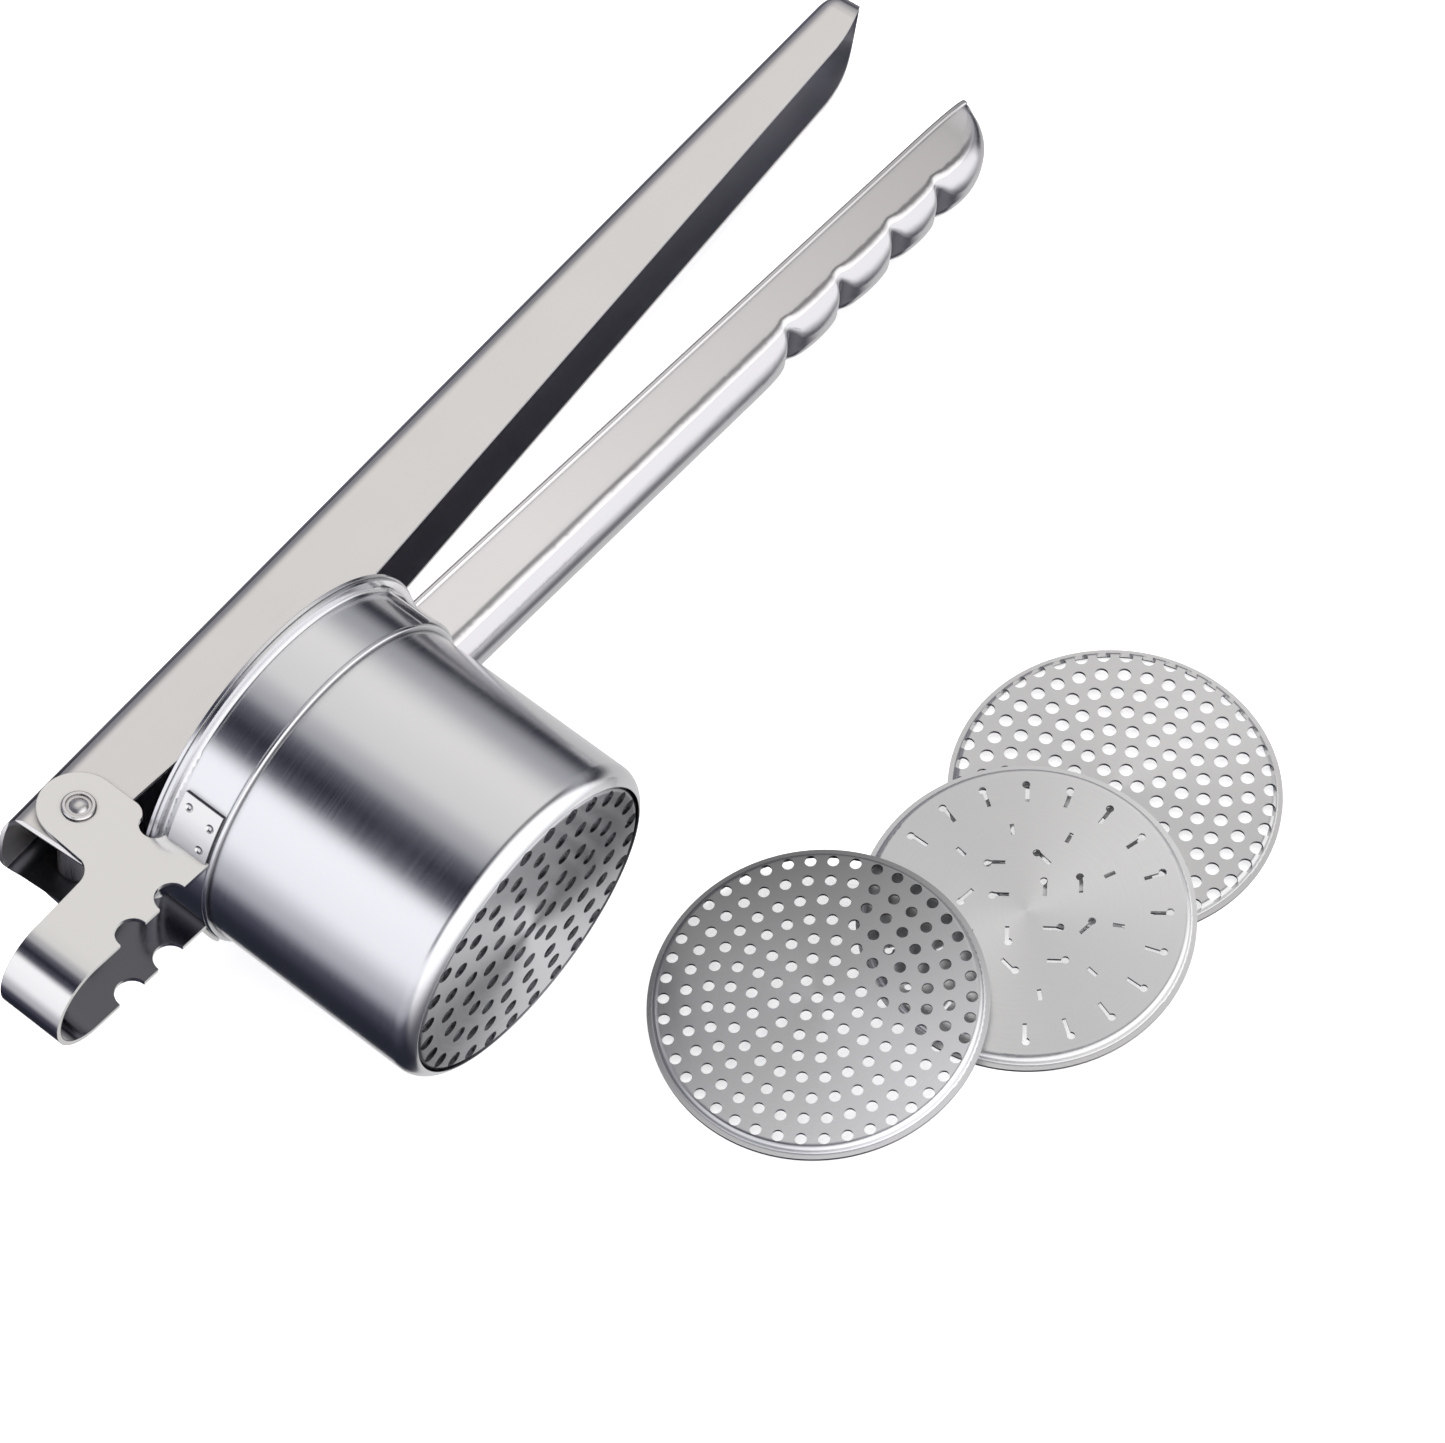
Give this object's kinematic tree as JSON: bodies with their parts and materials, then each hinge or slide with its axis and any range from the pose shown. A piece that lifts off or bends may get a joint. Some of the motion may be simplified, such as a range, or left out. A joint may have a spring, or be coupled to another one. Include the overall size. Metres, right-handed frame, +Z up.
{
  "type": "potato ricer",
  "caption": "Lever-operated potato ricer with a perforated cup, pot-rest bracket, hanging plunger and loose interchangeable perforated discs.",
  "frame": {"origin": "on the table, in the middle of the bounding box of ricer and loose discs", "axes": "+Z up from the table on which the ricer lies on its side; +X along the table from the cup towards the handle tips; +Y along the table from the cup's foot towards its mouth. The ricer leans so that it rests on its rim, its foot edge and the edge of the lever"},
  "size_m": [0.366, 0.241, 0.0931],
  "materials": {
    "polished_cup": "fine brushed, semi-bright",
    "satin_handle": "satin",
    "satin_strap": "satin",
    "rivet_steel": "satin",
    "matte_lever": "matte brushed",
    "plunger_steel": "satin",
    "disc_steel": "satin, pressed and punched"
  },
  "bodies": {
    "root": {"cup": "polished_cup", "collar_band": "polished_cup", "handle_foot": "satin_handle", "fixed_handle": "satin_handle", "pot_rest_bracket": "satin_strap", "pivot_rivet": "rivet_steel"},
    "lever": {"lever_channel": "matte_lever", "pivot_sleeve": "rivet_steel", "plunger_pin": "rivet_steel"},
    "plunger": {"plunger_plate": "plunger_steel", "plunger_bracket": "plunger_steel", "plunger_bush": "rivet_steel", "plunger_rivets": "rivet_steel"},
    "fitted_disc_body": {"fitted_disc": "disc_steel"},
    "coarse_disc_body": {"coarse_disc": "disc_steel"},
    "spaetzle_disc_body": {"spaetzle_disc": "disc_steel"},
    "fine_disc_body": {"fine_disc": "disc_steel"}
  },
  "joints": [
    {"name": "lever_hinge", "type": "hinge", "parent": "root", "child": "lever", "pos_m": [-0.1426, 0.08226, 0.05454], "axis": [0.1416, -0.0649, 0.9878], "range_deg": [0, 80]},
    {"name": "plunger_hinge", "type": "hinge", "parent": "lever", "child": "plunger", "pos_m": [-0.09944, 0.06699, 0.04735], "axis": [0.1416, -0.0649, 0.9878], "range_deg": [-64, 0]},
    {"name": "fitted_disc_lift", "type": "slide", "parent": "root", "child": "fitted_disc_body", "axis": [0, 0.9978, 0.0656], "range_m": [0, 0.002]},
    {"name": "coarse_disc_lift", "type": "slide", "parent": "root", "child": "coarse_disc_body", "axis": [0, 0, 1], "range_m": [0, 0.06]},
    {"name": "spaetzle_disc_lift", "type": "slide", "parent": "coarse_disc_body", "child": "spaetzle_disc_body", "axis": [0, 0, 1], "range_m": [0, 0.06]},
    {"name": "fine_disc_lift", "type": "slide", "parent": "spaetzle_disc_body", "child": "fine_disc_body", "axis": [0, 0, 1], "range_m": [0, 0.06]}
  ],
  "couplings": [
    {"joint": "plunger_hinge", "follows": "lever_hinge", "ratio": -0.8}
  ]
}
